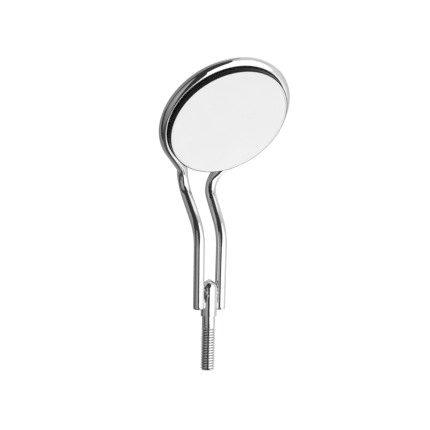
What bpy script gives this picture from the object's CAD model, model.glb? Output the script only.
import math

import bmesh
import bpy
from mathutils import Matrix, Vector, noise


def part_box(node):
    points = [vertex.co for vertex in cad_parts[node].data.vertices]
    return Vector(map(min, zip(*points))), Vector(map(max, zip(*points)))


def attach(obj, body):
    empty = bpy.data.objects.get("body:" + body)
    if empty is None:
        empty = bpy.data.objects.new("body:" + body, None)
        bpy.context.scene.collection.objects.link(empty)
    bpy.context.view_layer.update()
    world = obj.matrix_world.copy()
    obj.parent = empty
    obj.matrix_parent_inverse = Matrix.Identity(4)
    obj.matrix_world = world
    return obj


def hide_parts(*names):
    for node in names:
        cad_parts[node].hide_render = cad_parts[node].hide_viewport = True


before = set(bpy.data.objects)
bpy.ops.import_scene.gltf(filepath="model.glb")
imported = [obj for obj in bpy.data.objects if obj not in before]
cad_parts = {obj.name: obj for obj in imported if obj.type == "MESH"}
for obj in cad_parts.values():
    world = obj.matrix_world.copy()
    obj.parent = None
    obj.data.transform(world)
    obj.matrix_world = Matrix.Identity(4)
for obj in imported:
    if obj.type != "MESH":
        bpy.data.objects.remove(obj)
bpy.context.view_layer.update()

# Lengths below are millimetres, turned into metres as each mesh is made.
MM = 0.001

# the wire: a leg's foot and elbow, then its crook and splay, given from the ring's centre
WIRE_RADIUS = 0.974
FOOT_ROUND = 0.45
LEG_Y = -0.1
FOOT_X, FOOT_Z = 2.17, 1.1
ELBOW_X, ELBOW_Z, ELBOW_BEND = 2.3, 14.67, 8.5
CROOK_X, CROOK_DROP, CROOK_BEND = 2.59, 14.96, 3.75
SPLAY_X, SPLAY_DROP, SPLAY_BEND = 3.92, 11.71, 2.5
BOX_CLEARANCE = 0.002

# the stud
COLLAR_RADIUS = 1.4
COLLAR_LENGTH = 4.92
COLLAR_EDGE = 0.06
NECK_RADIUS = 1.17
NECK_LENGTH = 2.1
NECK_MARK_DEPTH = 0.06
NECK_MARK_CREST = 0.25
THREAD_CREST_RADIUS = 1.25
THREAD_ROOT_RADIUS = 0.98
THREAD_PITCH = 0.45
THREAD_CREST = 0.14  # 0.056 in the CAD: the photo's teeth look fuller
THREAD_FLANK = math.radians(30)
THREAD_RUN_OUT = 0.5 * THREAD_PITCH
TIP_CHAMFER = 0.32

# the cup and the mirror's film, with heights on the mirror's axis above the plane of the ring
CUP_RADIUS = 11.0
CUP_SHEET = 0.25
CUP_CORNER = 0.6
CUP_BACK = 0.6925
COATING_RADIUS = 10.57
COATING_MIDDLE = 1.9725
LIP_HEIGHT = 1.995

# how fast the scratches' coordinate changes round a turned piece, against across it
GRAIN_TURN = 0.03


def box_mm(node):
    """The lowest and highest corners of a CAD node."""
    low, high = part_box(node)
    return low / MM, high / MM


# ------------------------------------------------------------------ places, from the CAD
coat_low, coat_high = box_mm("mirror_coating")
coat_size = coat_high - coat_low
HEAD_TILT = math.atan2(coat_size.y, coat_size.z)
ACROSS = Vector((1, 0, 0))
UP_HEAD = Vector((0, -math.sin(HEAD_TILT), math.cos(HEAD_TILT)))
OUT_HEAD = ACROSS.cross(UP_HEAD)
RING_CENTRE = (coat_low + coat_high) / 2 - OUT_HEAD * COATING_MIDDLE

wire_low, wire_high = box_mm("wire_frame")
RING_RADIUS = (wire_high.x - wire_low.x) / 2 - WIRE_RADIUS - BOX_CLEARANCE

stud_low, stud_high = box_mm("threaded_stud")


def in_head(x, y, z):
    """A point given across, up the face and out of the face, from the ring's centre."""
    return RING_CENTRE + ACROSS * x + UP_HEAD * y + OUT_HEAD * z


# ------------------------------------------------------------------ mesh tools
def add_piece(name, points, faces, grain, sharp_angle=40, shade=None):
    """A closed smooth mesh from points in millimetres.

    Grain is the coordinate that scratches follow, and shade marks points for a second finish,
    from 0 to 1.
    """
    mesh = bpy.data.meshes.new(name)
    mesh.from_pydata([Vector(p) * MM for p in points], [], faces)
    editable = bmesh.new()
    editable.from_mesh(mesh)
    bmesh.ops.recalc_face_normals(editable, faces=editable.faces)
    editable.to_mesh(mesh)
    editable.free()
    attribute = mesh.attributes.new("grain", "FLOAT_VECTOR", "POINT")
    attribute.data.foreach_set("vector", [number for vector in grain for number in vector])
    if shade is not None:
        attribute = mesh.attributes.new("shade", "FLOAT", "POINT")
        attribute.data.foreach_set("value", shade)
    mesh.shade_smooth()
    mesh.set_sharp_from_angle(angle=math.radians(sharp_angle))
    piece = bpy.data.objects.new(name, mesh)
    bpy.context.scene.collection.objects.link(piece)
    return piece


def finish_piece(piece, material, slot, *nodes):
    """Give a piece its material, and say which CAD nodes it stands for."""
    piece.data.materials.append(material)
    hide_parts(*nodes)
    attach(piece, "root")


def grid_faces(rows, columns, first=0):
    """Quads between rows of points that each close on themselves."""
    faces = []
    for i in range(rows - 1):
        here = first + i * columns
        there = here + columns
        for j in range(columns):
            k = (j + 1) % columns
            faces.append((here + j, here + k, there + k, there + j))
    return faces


def capped_faces(rows, columns):
    """The faces of rows of points between a first and a last point that close the ends."""
    faces = grid_faces(rows, columns, first=1)
    last = rows * columns + 1
    for j in range(columns):
        k = (j + 1) % columns
        faces.append((0, 1 + j, 1 + k))
        faces.append((last, last - columns + k, last - columns + j))
    return faces


def lathe(profile, segments, place):
    """Points, faces and grain of a profile of (radius, height) turned about an axis.

    The profile's two ends are on the axis.
    """
    points = [place(0, 0, profile[0][1])]
    grain = [(0, 0, 0)]
    travelled = 0
    for i, (radius, height) in enumerate(profile[1:-1], start=1):
        travelled += math.dist(profile[i - 1], profile[i])
        for j in range(segments):
            angle = 2 * math.pi * j / segments
            points.append(place(radius * math.cos(angle), radius * math.sin(angle), height))
            turned = GRAIN_TURN * math.cos(angle), GRAIN_TURN * math.sin(angle)
            grain.append((travelled, *turned))
    points.append(place(0, 0, profile[-1][1]))
    grain.append((travelled, 0, 0))
    return points, capped_faces(len(profile) - 2, segments), grain


def arc_points(centre, radius, start, end, steps):
    """Points of an arc in a section plane, from one angle to another in degrees."""
    angles = [math.radians(start + (end - start) * i / steps) for i in range(steps + 1)]
    middle_x, middle_y = centre
    return [(middle_x + radius * math.cos(a), middle_y + radius * math.sin(a)) for a in angles]


# ------------------------------------------------------------------ the bent wire
def bend_points(before, corner, after, radius, step):
    """Points along the arc that rounds one corner of the route."""
    to_before = (before - corner).normalized()
    to_after = (after - corner).normalized()
    half = to_before.angle(to_after) / 2
    bisector = (to_before + to_after).normalized()
    centre = corner + bisector * (radius / math.sin(half))
    start = corner + to_before * (radius / math.tan(half)) - centre
    sweep = math.pi - 2 * half
    axis = to_before.cross(to_after).normalized()
    count = max(6, round(radius * sweep / step))
    turns = [Matrix.Rotation(-sweep * i / count, 3, axis) for i in range(count + 1)]
    return [centre + turn @ start for turn in turns]


def line_points(start, end, step):
    """Points along a straight stretch, without its two ends."""
    count = max(1, round((end - start).length / step))
    return [start.lerp(end, i / count) for i in range(1, count)]


def wire_centre_line():
    """The middle of the wire: from the left foot up, round the ring, and down to the right foot."""
    foot = Vector((FOOT_X, LEG_Y, FOOT_Z))
    elbow = Vector((ELBOW_X, LEG_Y, ELBOW_Z))
    crook = in_head(CROOK_X, -CROOK_DROP, 0)
    splay = in_head(SPLAY_X, -SPLAY_DROP, 0)
    reach = math.hypot(SPLAY_X, SPLAY_DROP)
    meeting = math.atan2(SPLAY_X, SPLAY_DROP) + math.acos(RING_RADIUS / reach)
    touch = in_head(RING_RADIUS * math.sin(meeting), -RING_RADIUS * math.cos(meeting), 0)
    step = 0.3
    corners = [foot, elbow, crook, splay, touch]
    leg = [foot]
    for i, radius in enumerate((ELBOW_BEND, CROOK_BEND, SPLAY_BEND), start=1):
        bend = bend_points(corners[i - 1], corners[i], corners[i + 1], radius, step)
        leg += line_points(leg[-1], bend[0], step) + bend
    leg += line_points(leg[-1], touch, step)
    turn = 2 * (math.pi - meeting)
    count = round(RING_RADIUS * turn / step)
    ring = []
    for i in range(count + 1):
        angle = meeting + turn * i / count
        across, up = RING_RADIUS * math.sin(angle), -RING_RADIUS * math.cos(angle)
        ring.append(in_head(across, up, 0))
    other_leg = [Vector((-p.x, p.y, p.z)) for p in reversed(leg)]
    return leg + ring + other_leg


def make_wire(material):
    """The bent wire, with rounded ends at its two feet."""
    segments = 56
    grain_along = 0.06
    line = wire_centre_line()
    first, last = line[0], line[-1]
    into, out_of = (line[1] - first).normalized(), (line[-2] - last).normalized()
    rounding = [math.radians(90 * i / 7) for i in range(8)]
    offsets = [FOOT_ROUND * (1 - math.sin(a)) for a in rounding]
    radii = [WIRE_RADIUS - FOOT_ROUND + FOOT_ROUND * math.cos(a) for a in rounding]
    start = [(first + into * o, r) for o, r in zip(reversed(offsets), reversed(radii))]
    end = [(last + out_of * o, r) for o, r in zip(offsets, radii)]
    clear = FOOT_ROUND + 0.05
    middle = [
        (p, WIRE_RADIUS) for p in line
        if (p - first).length > clear and (p - last).length > clear
    ]
    stations = start + middle + end
    points, grain = [first], [(0, 0, 0)]
    side = into.cross(Vector((0, 1, 0))).normalized()
    travelled = 0
    for i, (centre, radius) in enumerate(stations):
        before = stations[max(i - 1, 0)][0]
        after = stations[min(i + 1, len(stations) - 1)][0]
        heading = (after - before).normalized()
        travelled += (centre - before).length
        side = (side - heading * side.dot(heading)).normalized()
        other = heading.cross(side)
        for j in range(segments):
            angle = 2 * math.pi * j / segments
            outward = side * math.cos(angle) + other * math.sin(angle)
            points.append(centre + outward * radius)
            grain.append((math.cos(angle), math.sin(angle), grain_along * travelled))
    points.append(last)
    grain.append((0, 0, grain_along * travelled))
    wire = add_piece("bent_wire", points, capped_faces(len(stations), segments), grain)
    finish_piece(wire, material, "wire_steel", "wire_frame")


# ------------------------------------------------------------------ the mirror cup
def make_cup(material):
    """The pressed cup, its lip rolled in over the edge of the glass and flush with the mirror."""
    floor = CUP_BACK + CUP_SHEET
    inside = CUP_RADIUS - CUP_SHEET
    inner_corner = CUP_CORNER - CUP_SHEET
    lip_round, lip_sheet, lip_corner = 0.12, 0.03, 0.01
    lip_edge = COATING_RADIUS + lip_corner
    # the dark finish runs from the back of the side over the lip's rounded outer edge
    dark_low, dark_rim, fade = CUP_BACK + 0.15, CUP_RADIUS - 0.17, 0.03
    back_corner = CUP_RADIUS - CUP_CORNER, CUP_BACK + CUP_CORNER
    lip_middle = CUP_RADIUS - lip_round, LIP_HEIGHT - lip_round
    floor_corner = inside - inner_corner, floor + inner_corner
    profile = [(0, CUP_BACK)]
    profile += [(CUP_RADIUS * share, CUP_BACK) for share in (0.02, 0.3, 0.6, 0.8)]
    profile += arc_points(back_corner, CUP_CORNER, -90, 0, 14)
    profile += arc_points(lip_middle, lip_round, 0, 90, 12)
    profile.append((dark_rim + lip_corner, LIP_HEIGHT))
    profile.append((dark_rim + lip_corner - fade, LIP_HEIGHT))
    profile.append((lip_edge + lip_sheet, LIP_HEIGHT))
    profile.append((lip_edge, LIP_HEIGHT - lip_corner))
    profile.append((lip_edge, LIP_HEIGHT - lip_sheet))
    profile.append((inside - 0.02, LIP_HEIGHT - 0.05))
    profile.append((inside, LIP_HEIGHT - 0.2))
    profile += arc_points(floor_corner, inner_corner, 0, -90, 10)
    profile += [(CUP_RADIUS * share, floor) for share in (0.8, 0.5, 0.02)]
    profile.append((0, floor))
    segments = 224
    points, faces, grain = lathe(profile, segments, in_head)
    shade = [0.0]
    for radius, height in profile[1:-1]:
        shade += [float(radius > dark_rim and height > dark_low)] * segments
    shade.append(0.0)
    cup = add_piece("pressed_cup", points, faces, grain, sharp_angle=50, shade=shade)
    finish_piece(cup, material, "cup_steel", "mirror_cup")


# ------------------------------------------------------------------ the threaded stud
def leg_axis_at(side, height):
    """Where the middle of a leg's wire crosses a height, as a point in plan."""
    lean = (ELBOW_X - FOOT_X) / (ELBOW_Z - FOOT_Z)
    return Vector((side * (FOOT_X + (height - FOOT_Z) * lean), LEG_Y))


def stud_radius(height):
    """The stud's outline above its shoulder: a round collar closed by a ball and a cone."""
    top = stud_high.z
    if height <= COLLAR_LENGTH:
        return COLLAR_RADIUS
    tangent_angle = math.asin(COLLAR_RADIUS / (top - COLLAR_LENGTH))
    tangent_height = COLLAR_LENGTH + COLLAR_RADIUS * math.sin(tangent_angle)
    if height < tangent_height:
        return math.sqrt(COLLAR_RADIUS ** 2 - (height - COLLAR_LENGTH) ** 2)
    return COLLAR_RADIUS * math.cos(tangent_angle) * (top - height) / (top - tangent_height)


def off_crest(angle, height):
    """How far a point lies from the thread's nearest crest, from 0 to half a pitch."""
    turn = (height - stud_low.z) / THREAD_PITCH - angle / (2 * math.pi)
    return abs((turn % 1) - 0.5) * THREAD_PITCH


def neck_mark(angle, height):
    """How deep the thread's last, fading turns are cut into the neck."""
    between_crests = 2 * off_crest(angle, height) / THREAD_PITCH
    fade = max(0, min(1, -height / NECK_LENGTH))
    return NECK_MARK_DEPTH * fade * max(0, between_crests - NECK_MARK_CREST)


def thread_radius(angle, height):
    """The screw thread's radius: flat crests, sixty-degree flanks, and run-outs at both ends."""
    flank = max(0, off_crest(angle, height) - THREAD_CREST / 2) / math.tan(THREAD_FLANK)
    root = THREAD_ROOT_RADIUS
    above = -NECK_LENGTH - height
    if above < THREAD_RUN_OUT:
        root = NECK_RADIUS - (NECK_RADIUS - root) * max(0, above) / THREAD_RUN_OUT
    radius = max(root, THREAD_CREST_RADIUS - flank)
    from_tip = height - stud_low.z
    radius = min(radius, THREAD_CREST_RADIUS - TIP_CHAMFER + from_tip)
    return min(radius, NECK_RADIUS - neck_mark(angle, height) + max(0, above))


def seat_depth(angle, side, height):
    """How far from the stud's axis a ray at that angle meets the leg in its seat, or None."""
    axis = leg_axis_at(side, height)
    ray = Vector((math.cos(angle), math.sin(angle)))
    along = axis.dot(ray)
    apart = axis.length_squared - along ** 2
    if along < 0 or apart > WIRE_RADIUS ** 2:
        return None
    return along - math.sqrt(WIRE_RADIUS ** 2 - apart)


def seat_edges(side, height, radius):
    """The two angles at which the collar's surface breaks into a leg's seat."""
    axis = leg_axis_at(side, height)
    distance = axis.length
    middle = math.atan2(axis.y, axis.x) % (2 * math.pi)
    cosine = (distance ** 2 + radius ** 2 - WIRE_RADIUS ** 2) / (2 * distance * radius)
    half = math.acos(cosine) if cosine < 1 else 0
    half = max(half, math.radians(1.5))
    return middle, half


def stud_angles(height, radius, across_seat, across_rest):
    """The angles of one row of points, with one on each edge of the two seats."""
    right_middle, right_half = seat_edges(1, height, radius)
    left_middle, left_half = seat_edges(-1, height, radius)
    right_middle -= 2 * math.pi
    stops = [
        (right_middle - right_half, across_seat),
        (right_middle + right_half, across_rest),
        (left_middle - left_half, across_seat),
        (left_middle + left_half, across_rest),
        (right_middle - right_half + 2 * math.pi, 0),
    ]
    angles = []
    for (start, count), (end, _) in zip(stops, stops[1:]):
        angles += [start + (end - start) * i / count for i in range(count)]
    return angles


def stud_rows():
    """The stud's rows of points from tip to top, as (kind, height, radius)."""
    tip_rows, rows_a_turn, neck_rows_a_turn = 4, 16, 14
    edge_rows, collar_rows, dome_rows = 4, 24, 22
    tip_radius = THREAD_CREST_RADIUS - TIP_CHAMFER
    rows = [("tip", stud_low.z, tip_radius * i / tip_rows) for i in range(1, tip_rows)]
    length = -NECK_LENGTH - stud_low.z
    count = round(length / THREAD_PITCH * rows_a_turn)
    rows += [("thread", stud_low.z + length * i / count, 0) for i in range(count + 1)]
    count = round(NECK_LENGTH / THREAD_PITCH * neck_rows_a_turn)
    rows += [("thread", -NECK_LENGTH * (1 - i / count), 0) for i in range(1, count + 1)]
    inner = COLLAR_RADIUS - COLLAR_EDGE
    rows.append(("seat", 0.0, inner))
    for i in range(1, edge_rows + 1):
        angle = math.radians(90 * i / edge_rows)
        height = COLLAR_EDGE - COLLAR_EDGE * math.cos(angle)
        rows.append(("seat", height, inner + COLLAR_EDGE * math.sin(angle)))
    for i in range(1, collar_rows + 1):
        height = COLLAR_EDGE + (COLLAR_LENGTH - COLLAR_EDGE) * i / collar_rows
        rows.append(("seat", height, COLLAR_RADIUS))
    for i in range(1, dome_rows):
        share = math.sin(math.radians(90 * i / dome_rows))
        height = COLLAR_LENGTH + (stud_high.z - COLLAR_LENGTH) * share
        rows.append(("seat", height, stud_radius(height)))
    return rows


def stud_reach(kind, angle, height, radius):
    """How far the stud's surface is from its axis at one angle of a row."""
    if kind == "thread":
        return thread_radius(angle, height)
    if kind == "seat":
        for side in (-1, 1):
            depth = seat_depth(angle, side, height)
            radius = radius if depth is None else min(radius, depth)
    return radius


def make_stud(material):
    """The turned stud: thread, neck, collar with a seat for each leg, and its round shoulder."""
    across_seat, across_rest = 14, 50
    thread_depth = THREAD_CREST_RADIUS - THREAD_ROOT_RADIUS
    rows = stud_rows()
    points, grain, shade = [Vector((0, 0, stud_low.z))], [(0, 0, 0)], [0.0]
    for kind, height, radius in rows:
        for angle in stud_angles(max(height, 0), COLLAR_RADIUS, across_seat, across_rest):
            reach = stud_reach(kind, angle, height, radius)
            points.append(Vector((reach * math.cos(angle), reach * math.sin(angle), height)))
            turned = GRAIN_TURN * math.cos(angle), GRAIN_TURN * math.sin(angle)
            grain.append((height + reach, *turned))
            depth = (THREAD_CREST_RADIUS - reach) / thread_depth
            shade.append(max(0, min(1, depth)) if height < -NECK_LENGTH else 0.0)
    points.append(Vector((0, 0, stud_high.z)))
    grain.append((stud_high.z, 0, 0))
    shade.append(0.0)
    faces = capped_faces(len(rows), 2 * (across_seat + across_rest))
    stud = add_piece("turned_stud", points, faces, grain, sharp_angle=35, shade=shade)
    finish_piece(stud, material, "stud_steel", "threaded_stud")


# ------------------------------------------------------------------ solder
def lumps(place, size, seed):
    """Smooth seeded unevenness from -1 to 1, with lumps of one size."""
    return noise.noise(Vector(place) / size + Vector((seed, 3.7 * seed, -seed)))


def bead_unevenness(place, size, finer, share, seeds):
    """The swelling of a bead: lumps, and a share of finer ones."""
    return lumps(place, size, seeds[0]) + share * lumps(place, finer, seeds[1])


def swept_bead(sections):
    """Points and faces of a bead from closed sections with equal counts, its ends closed."""
    count = len(sections[0])
    points = [p for section in sections for p in section]
    faces = grid_faces(len(sections), count)
    for ring in (sections[0], sections[-1]):
        middle = sum(ring, Vector()) / count
        points.append(middle)
        hub = len(points) - 1
        first = 0 if ring is sections[0] else (len(sections) - 1) * count
        faces += [(hub, first + j, first + (j + 1) % count) for j in range(count)]
    return points, faces


def leg_bead_section(side, front, height, swell):
    """One section of the solder between the collar and a leg, bulging out by swell."""
    steps = 7
    over_stud, over_leg = 0.5, 0.4
    least_bulge, most_bulge = 0.05, 0.55
    radius = stud_radius(height)
    axis = leg_axis_at(side, height)
    middle, half = seat_edges(side, height, radius)
    crease_angle = middle - front * side * half
    crease = Vector((math.cos(crease_angle), math.sin(crease_angle))) * radius
    leg_angle = math.atan2(crease.y - axis.y, crease.x - axis.x)
    stud_turn = -front * side * over_stud * (1 + swell)
    leg_turn = front * side * over_leg * (1 + swell)
    on_stud, on_leg = [], []
    for i in range(steps + 1):
        share = i / steps
        a = crease_angle + stud_turn * share
        on_stud.append(Vector((math.cos(a), math.sin(a))) * radius)
        b = leg_angle + leg_turn * share
        on_leg.append(axis + Vector((math.cos(b), math.sin(b))) * WIRE_RADIUS)
    start, end = on_stud[-1], on_leg[-1]
    away = ((start + end) / 2 - crease).normalized()
    span = (end - start).length
    cap = []
    for i in range(1, 2 * steps):
        share = i / (2 * steps)
        bulge = math.sin(math.pi * share) * span * (least_bulge + most_bulge * swell)
        cap.append(start.lerp(end, share) + away * bulge)
    outline = on_stud + cap + list(reversed(on_leg[1:]))
    return [Vector((p.x, p.y, height)) for p in outline]


def make_leg_braze(name, node, side, material):
    """Solder run into the front and back notches between one leg and the collar."""
    bottom, top = 2.4, 5.55
    rows = 64
    first_share, thinnest, thin_end = 0.04, -0.93, 0.9
    points, faces = [], []
    for front in (1, -1):
        sections = []
        for i in range(rows + 1):
            share = i / rows
            height = bottom + (top - bottom) * share
            along = min(1, first_share + share * (1 - first_share))
            taper = math.sin(math.pi * along) ** 0.35
            seed = 5.3 * side + 2.1 * front
            uneven = bead_unevenness((0, 0, height), 0.7, 0.28, 0.5, (seed, seed))
            swell = (0.05 + 0.6 * uneven) * taper - thin_end * (1 - taper)
            sections.append(leg_bead_section(side, front, height, max(thinnest, swell)))
        new_points, new_faces = swept_bead(sections)
        faces += [tuple(len(points) + i for i in face) for face in new_faces]
        points += new_points
    grain = [tuple(p) for p in points]
    bead = add_piece(name, points, faces, grain, sharp_angle=70)
    finish_piece(bead, material, "solder", node)


def head_bead_section(angle, size):
    """One section of the seam between the ring and the cup, at an angle round the ring."""
    steps = 6
    over_ring, over_cup, hollow = math.radians(36), 0.26, 0.05
    corner_r, corner_h = CUP_RADIUS - CUP_CORNER, CUP_BACK + CUP_CORNER
    notch = math.atan2(corner_h, corner_r - RING_RADIUS)
    start_on_cup = notch - math.pi
    outline = []
    for k in range(steps + 1):
        a = notch + over_ring * size * (1 - k / steps)
        outline.append((RING_RADIUS + WIRE_RADIUS * math.cos(a), WIRE_RADIUS * math.sin(a)))
    for k in range(1, steps + 1):
        a = start_on_cup + (-math.pi / 2 - start_on_cup) * k / steps
        outline.append((corner_r + CUP_CORNER * math.cos(a), corner_h + CUP_CORNER * math.sin(a)))
    outline.append((corner_r - over_cup * size, CUP_BACK))
    start, end = Vector(outline[-1]), Vector(outline[0])
    inward = (end - start).orthogonal().normalized()
    for k in range(1, 2 * steps):
        share = k / (2 * steps)
        sag = hollow * size * math.sin(math.pi * share)
        p = start.lerp(end, share) - inward * sag
        outline.append((p.x, p.y))
    return [in_head(r * math.cos(angle), r * math.sin(angle), height) for r, height in outline]


def make_head_braze(material):
    """The solder seam behind the mirror, run round the notch between the ring and the cup."""
    rows, half_length = 300, math.radians(131)
    taper_rate, smallest = 14, 0.12
    sections = []
    for i in range(rows + 1):
        share = i / rows
        angle = math.pi / 2 - half_length + 2 * half_length * share
        taper = min(1, share * taper_rate, (1 - share) * taper_rate) ** 0.5
        place = (math.cos(angle) * RING_RADIUS, math.sin(angle) * RING_RADIUS, 0)
        uneven = bead_unevenness(place, 1.6, 0.6, 0.5, (8.0, 2.0))
        size = max(smallest, (0.8 + 0.35 * uneven) * taper)
        sections.append(head_bead_section(angle, size))
    points, faces = swept_bead(sections)
    grain = [tuple(p) for p in points]
    seam = add_piece("solder_seam", points, faces, grain, sharp_angle=70)
    finish_piece(seam, material, "solder", "head_braze")


# ------------------------------------------------------------------ materials
# nearly all of a noise's values lie in this range
NOISE_LOW, NOISE_HIGH = 0.3, 0.7


class Nodes:
    """A material's node tree, with short calls to add and join nodes."""

    def __init__(self, name):
        self.material = bpy.data.materials.new(name)
        self.material.use_nodes = True
        self.tree = self.material.node_tree
        self.shader = self.tree.nodes["Principled BSDF"]

    def add(self, kind, settings=None, **inputs):
        """A new node; an input given another node's socket is linked to it."""
        node = self.tree.nodes.new(kind)
        for name, number in (settings or {}).items():
            setattr(node, name, number)
        for name, number in inputs.items():
            socket = node.inputs[name.replace("_", " ")]
            if isinstance(number, bpy.types.NodeSocket):
                self.tree.links.new(number, socket)
            else:
                socket.default_value = number
        return node

    def link(self, socket, name):
        """Link a socket to one of the shader's inputs."""
        self.tree.links.new(socket, self.shader.inputs[name])

    def attribute(self, name):
        """A mesh attribute's node, with outputs Vector and Fac."""
        return self.add("ShaderNodeAttribute", {"attribute_name": name}).outputs

    def places(self):
        """The surface's own place, in metres."""
        return self.add("ShaderNodeTexCoord").outputs["Object"]

    def noise(self, vector, scale, detail, roughness=0.55):
        """Fractal noise, where scale counts its lumps to the unit."""
        inputs = {"Vector": vector, "Scale": scale, "Detail": detail, "Roughness": roughness}
        return self.add("ShaderNodeTexNoise", **inputs).outputs["Fac"]

    def spread(self, socket, low, high, to_low, to_high):
        """A number moved from one range to another."""
        ends = {"From_Min": low, "From_Max": high, "To_Min": to_low, "To_Max": to_high}
        return self.add("ShaderNodeMapRange", Value=socket, **ends).outputs["Result"]

    def between(self, noise_socket, to_low, to_high):
        """A number that a noise moves between two ends."""
        return self.spread(noise_socket, NOISE_LOW, NOISE_HIGH, to_low, to_high)

    def mix(self, factor, first, second):
        """A colour between two others, each a colour or a socket."""
        node = self.add("ShaderNodeMix", {"data_type": "RGBA"})
        self.tree.links.new(factor, node.inputs[0])
        for index, colour in ((6, first), (7, second)):
            if isinstance(colour, bpy.types.NodeSocket):
                self.tree.links.new(colour, node.inputs[index])
            else:
                node.inputs[index].default_value = (*colour, 1)
        return node.outputs[2]

    def bump(self, height, distance, normal=None):
        """A normal tilted by a height of so many metres, over another normal if one is given."""
        node = self.add("ShaderNodeBump", Height=height, Distance=distance, Strength=1.0)
        if normal is not None:
            self.tree.links.new(normal, node.inputs["Normal"])
        return node.outputs["Normal"]


def polished_steel(name, light, dark, grain_scale, smooth, rough, ripple, scratch):
    """Bright steel whose scratches follow the way it was drawn or turned."""
    made = Nodes(name)
    grain = made.attribute("grain")["Vector"]
    places = made.places()
    streaks = made.noise(grain, grain_scale, detail=6, roughness=0.7)
    cloud = made.noise(places, 450, detail=3)
    waves = made.noise(places, 900, detail=2)
    made.colour = made.mix(made.between(cloud, 0, 1), light, dark)
    made.link(made.colour, "Base Color")
    made.gloss = made.spread(streaks, 0.35, 0.75, smooth, rough)
    made.link(made.gloss, "Roughness")
    rippled = made.bump(waves, ripple)
    made.link(made.bump(streaks, scratch, normal=rippled), "Normal")
    made.shader.inputs["Metallic"].default_value = 1.0
    return made


def stained_roots(made):
    """Darken and dull the bottom of the thread, where polish doesn't reach and oil stays."""
    stain, added_roughness = (0.42, 0.42, 0.43), 0.1
    depth = made.attribute("shade")["Fac"]
    shade = made.spread(depth, 0.5, 1, 0, 1)
    made.link(made.mix(shade, made.colour, stain), "Base Color")
    rougher = made.add("ShaderNodeMath", {"operation": "MULTIPLY_ADD"})
    made.tree.links.new(shade, rougher.inputs[0])
    rougher.inputs[1].default_value = added_roughness
    made.tree.links.new(made.gloss, rougher.inputs[2])
    made.link(rougher.outputs[0], "Roughness")


def dark_side(made):
    """The cup's side: a black glossy band under the bright lip."""
    black = (0.012, 0.012, 0.013)
    shade = made.attribute("shade")["Fac"]
    made.link(made.mix(shade, made.colour, black), "Base Color")
    made.link(made.spread(shade, 0, 1, 1, 0), "Metallic")
    made.shader.inputs["IOR"].default_value = 1.15


def solder_metal(name):
    """Silver solder: a little warmer and duller than the steel, wrinkled where it froze."""
    bright, tarnished = (0.78, 0.78, 0.77), (0.34, 0.34, 0.33)
    made = Nodes(name)
    places = made.places()
    smooth_cells = {"feature": "SMOOTH_F1"}
    cells = made.add("ShaderNodeTexVoronoi", smooth_cells, Vector=places, Scale=2600)
    clouds = made.noise(places, 1800, detail=5)
    made.link(made.mix(made.between(clouds, 0, 1), bright, tarnished), "Base Color")
    made.link(made.between(clouds, 0.1, 0.3), "Roughness")
    pitted = made.bump(cells.outputs["Distance"], 0.00006)
    made.link(made.bump(clouds, 0.00008, normal=pitted), "Normal")
    made.shader.inputs["Metallic"].default_value = 1.0
    return made.material


def mirror_coat(name):
    """The reflecting film: as flat as the glass, with a trace of wiping haze."""
    clean, hazy = (0.87, 0.87, 0.875), (0.85, 0.85, 0.855)
    made = Nodes(name)
    places = made.places()
    haze = made.noise(places, 160, detail=4)
    wipes = made.noise(places, 2400, detail=2)
    made.link(made.mix(made.between(haze, 0, 1), clean, hazy), "Base Color")
    made.link(made.between(haze, 0.012, 0.03), "Roughness")
    made.link(made.bump(wipes, 4e-7), "Normal")
    made.shader.inputs["Metallic"].default_value = 1.0
    return made.material


def ground_glass(name):
    """The plate under the film, seen only at its bevelled edge."""
    pale, green = (0.72, 0.8, 0.77), (0.62, 0.7, 0.67)
    made = Nodes(name)
    grit = made.noise(made.places(), 6000, detail=3)
    made.link(made.mix(grit, pale, green), "Base Color")
    made.link(made.between(grit, 0.08, 0.25), "Roughness")
    made.link(made.bump(grit, 0.000002), "Normal")
    made.shader.inputs["IOR"].default_value = 1.52
    return made.material


def set_cement(name):
    """The adhesive under the glass, pale and slightly uneven."""
    pale, buff = (0.78, 0.74, 0.64), (0.66, 0.62, 0.53)
    made = Nodes(name)
    clouds = made.noise(made.places(), 900, detail=4)
    made.link(made.mix(clouds, pale, buff), "Base Color")
    made.link(made.between(clouds, 0.45, 0.65), "Roughness")
    made.link(made.bump(clouds, 0.00002), "Normal")
    return made.material


def dress(node, material):
    """Give a CAD node whose shape is right its finish."""
    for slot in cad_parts[node].material_slots:
        slot.material = material


# ------------------------------------------------------------------ the stage
CAMERA_AZIMUTH = -31.89
CAMERA_ROLL = 1.21
CAMERA_DISTANCE = 300.0
CAMERA_LENS = 143.6
AIM_RIGHT, AIM_UP = 0.74, 17.72
FLOOR_DROP = 45.0
FLOOR_RADIUS = 6.0
CARD_DISTANCE = 0.5


def towards(azimuth, elevation=0.0):
    """The direction from the object at an azimuth and elevation in degrees."""
    a, e = math.radians(azimuth), math.radians(elevation)
    return Vector((math.sin(a) * math.cos(e), -math.cos(a) * math.cos(e), math.sin(e)))


def make_camera():
    """A level camera with a long lens, rolled a little as in the photo."""
    camera = bpy.data.objects.new("camera", bpy.data.cameras.new("camera"))
    bpy.context.scene.collection.objects.link(camera)
    back = towards(CAMERA_AZIMUTH)
    up = Vector((0, 0, 1))
    right = up.cross(back)
    roll = math.radians(CAMERA_ROLL)
    rolled_right = right * math.cos(roll) + up * math.sin(roll)
    rolled_up = up * math.cos(roll) - right * math.sin(roll)
    place = (right * AIM_RIGHT + up * AIM_UP + back * CAMERA_DISTANCE) * MM
    turn = Matrix((rolled_right, rolled_up, back)).transposed().to_4x4()
    camera.matrix_world = Matrix.Translation(place) @ turn
    camera.data.lens = CAMERA_LENS
    camera.data.sensor_width = 36.0
    camera.data.clip_start = 0.01
    camera.data.clip_end = 20.0
    bpy.context.scene.camera = camera


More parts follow.
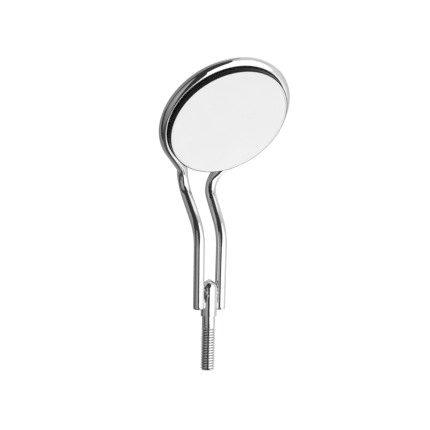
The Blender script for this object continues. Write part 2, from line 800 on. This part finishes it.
def floor_paper():
    """Plain matt paper."""
    made = Nodes("floor_paper")
    made.shader.inputs["Base Color"].default_value = (0.86, 0.86, 0.86, 1)
    made.shader.inputs["Roughness"].default_value = 0.9
    return made.material


def make_floor():
    """A round pale floor, some way under the object because the photo shows none."""
    count = 96
    height = (stud_low.z - FLOOR_DROP) * MM
    turns = [2 * math.pi * i / count for i in range(count)]
    rim = [(FLOOR_RADIUS * math.cos(t), FLOOR_RADIUS * math.sin(t), height) for t in turns]
    mesh = bpy.data.meshes.new("floor")
    mesh.from_pydata(rim, [], [tuple(range(count))])
    mesh.materials.append(floor_paper())
    floor = bpy.data.objects.new("floor", mesh)
    bpy.context.scene.collection.objects.link(floor)
    floor.visible_glossy = False


def card_material():
    """Light as strong as a card's glow at each point."""
    made = Nodes("studio_card")
    light = made.add("ShaderNodeEmission", Strength=made.attribute("glow")["Fac"])
    surface = made.tree.nodes["Material Output"].inputs["Surface"]
    made.tree.links.new(light.outputs[0], surface)
    return made.material


def make_card(name, material, left, right, elevations, glows):
    """A curved card round the object, seen only in its reflections.

    Left and right are the azimuths of its side edges at its bottom and its top, and it shades
    evenly from the left edge to the right one.
    """
    finest = 2.0
    across = math.ceil(max(right[0] - left[0], right[1] - left[1]) / finest)
    upward = math.ceil((elevations[1] - elevations[0]) / finest)
    points, faces, glow = [], [], []
    for i in range(across + 1):
        share = i / across
        for j in range(upward + 1):
            rise = j / upward
            left_edge = left[0] + (left[1] - left[0]) * rise
            right_edge = right[0] + (right[1] - right[0]) * rise
            azimuth = CAMERA_AZIMUTH + left_edge + (right_edge - left_edge) * share
            elevation = elevations[0] + (elevations[1] - elevations[0]) * rise
            points.append(towards(azimuth, elevation) * CARD_DISTANCE)
            glow.append(glows[0] + (glows[1] - glows[0]) * share)
    for i in range(across):
        for j in range(upward):
            a = i * (upward + 1) + j
            faces.append((a, a + 1, a + upward + 2, a + upward + 1))
    mesh = bpy.data.meshes.new(name)
    mesh.from_pydata(points, [], faces)
    attribute = mesh.attributes.new("glow", "FLOAT", "POINT")
    attribute.data.foreach_set("value", glow)
    mesh.materials.append(material)
    card = bpy.data.objects.new(name, mesh)
    bpy.context.scene.collection.objects.link(card)
    card.visible_camera = False
    card.visible_diffuse = False
    card.visible_transmission = False
    card.visible_shadow = False


# The studio: each card's name, the azimuths of its left and right edges at its bottom and top
# (from the camera, positive to its right), its elevations, and its brightness at each side.
CARDS = (
    ("low_back_left", (-180, -180), (-108, -108), (-68, -38), (0.25, 0.25)),
    ("low_flag_left", (-108, -108), (-78, -74), (-68, -38), (0.04, 0.04)),
    ("low_left", (-78, -74), (8, -6), (-68, -38), (0.12, 0.34)),
    ("low_flag_front", (8, -6), (62, 34), (-68, -38), (0.04, 0.05)),
    ("low_right", (62, 34), (86, 90), (-68, -38), (1.1, 1.1)),
    ("low_far_right", (86, 90), (150, 150), (-68, -38), (0.95, 1.19)),
    ("low_back_right", (150, 150), (180, 180), (-68, -38), (1.0, 0.9)),
    ("back_left", (-180, -180), (-125, -125), (-38, 24), (0.5, 0.15)),
    ("far_left_low", (-125, -125), (-108, -98), (-38, 0), (0.22, 0.38)),
    ("far_left_high", (-125, -125), (-90, -66), (0, 24), (0.22, 0.34)),
    ("flag_left_low", (-108, -98), (-76, -72), (-38, 0), (0.035, 0.035)),
    ("flag_left_high", (-90, -66), (-66, -38), (0, 24), (0.035, 0.035)),
    ("left_low", (-76, -72), (-8, -16), (-38, 0), (0.18, 0.46)),
    ("left_high", (-66, -38), (-16, -22), (0, 24), (0.18, 0.4)),
    ("flag_camera_low", (-8, -16), (34, 12), (-38, 0), (0.035, 0.035)),
    ("flag_camera_high", (-16, -22), (12, 32), (0, 24), (0.035, 0.035)),
    ("right_low", (34, 12), (88, 88), (-38, 0), (1.25, 1.15)),
    ("right_high", (12, 32), (88, 86), (0, 24), (1.25, 1.15)),
    ("far_right", (88, 86), (135, 135), (-38, 24), (0.75, 0.56)),
    ("back_right", (135, 135), (180, 180), (-38, 24), (0.6, 0.8)),
    ("upper_back_left", (-180, -180), (-125, -125), (24, 72), (0.9, 0.12)),
    ("upper_left", (-125, -125), (-66, -38), (24, 72), (0.22, 0.3)),
    ("upper_flag", (-66, -38), (32, 44), (24, 72), (0.03, 0.05)),
    ("upper_right", (32, 37.5), (86, 80), (24, 46), (1.15, 1.05)),
    ("upper_far_right", (86, 80), (180, 180), (24, 46), (0.5, 0.9)),
    ("top_right", (37.5, 44), (180, 180), (46, 72), (0.6, 0.65)),
    ("above", (-180, -180), (180, 180), (72, 90), (0.3, 0.3)),
    ("below", (-180, -180), (180, 180), (-90, -68), (0.06, 0.06)),
)


def make_cards():
    """The whole set of cards, which closes the object in on every side."""
    material = card_material()
    for name, left, right, elevations, glows in CARDS:
        make_card("card_" + name, material, left, right, elevations, glows)


def make_world():
    """White surroundings, which light the matt surfaces."""
    world = bpy.data.worlds.new("white_tent")
    bpy.context.scene.world = world
    world.use_nodes = True
    background = world.node_tree.nodes["Background"]
    background.inputs["Color"].default_value = (1, 1, 1, 1)
    background.inputs["Strength"].default_value = 1.05


def make_sun():
    """A soft key light from the right of the camera."""
    lamp = bpy.data.lights.new("soft_key", "SUN")
    lamp.energy = 0.9
    lamp.angle = math.radians(40)
    light = bpy.data.objects.new("soft_key", lamp)
    bpy.context.scene.collection.objects.link(light)
    light.rotation_mode = "QUATERNION"
    light.rotation_quaternion = towards(CAMERA_AZIMUTH + 40, 50).to_track_quat("Z", "Y")
    light.visible_glossy = False


def make_stage():
    """Camera, floor, cards and light."""
    make_camera()
    make_floor()
    make_cards()
    make_world()
    make_sun()
    view = bpy.context.scene.view_settings
    view.view_transform = "Standard"
    view.look = "None"


# ------------------------------------------------------------------ making it all
drawn = polished_steel(
    "drawn_steel", light=(0.93, 0.93, 0.94), dark=(0.9, 0.9, 0.91),
    grain_scale=7.0, smooth=0.02, rough=0.07, ripple=1.5e-6, scratch=1e-6,
)
pressed = polished_steel(
    "pressed_steel", light=(0.88, 0.88, 0.885), dark=(0.86, 0.86, 0.865),
    grain_scale=14.0, smooth=0.02, rough=0.06, ripple=5e-7, scratch=2e-7,
)
turned = polished_steel(
    "turned_steel", light=(0.93, 0.93, 0.94), dark=(0.84, 0.84, 0.85),
    grain_scale=30.0, smooth=0.04, rough=0.12, ripple=1e-6, scratch=3e-6,
)
stained_roots(turned)
dark_side(pressed)
make_wire(drawn.material)
make_cup(pressed.material)
make_stud(turned.material)
solder = solder_metal("silver_solder")
make_leg_braze("left_solder", "left_leg_braze", -1, solder)
make_leg_braze("right_solder", "right_leg_braze", 1, solder)
make_head_braze(solder)
dress("mirror_coating", mirror_coat("mirror_film"))
dress("mirror_glass", ground_glass("plate_glass"))
dress("glass_cement", set_cement("mirror_cement"))
make_stage()
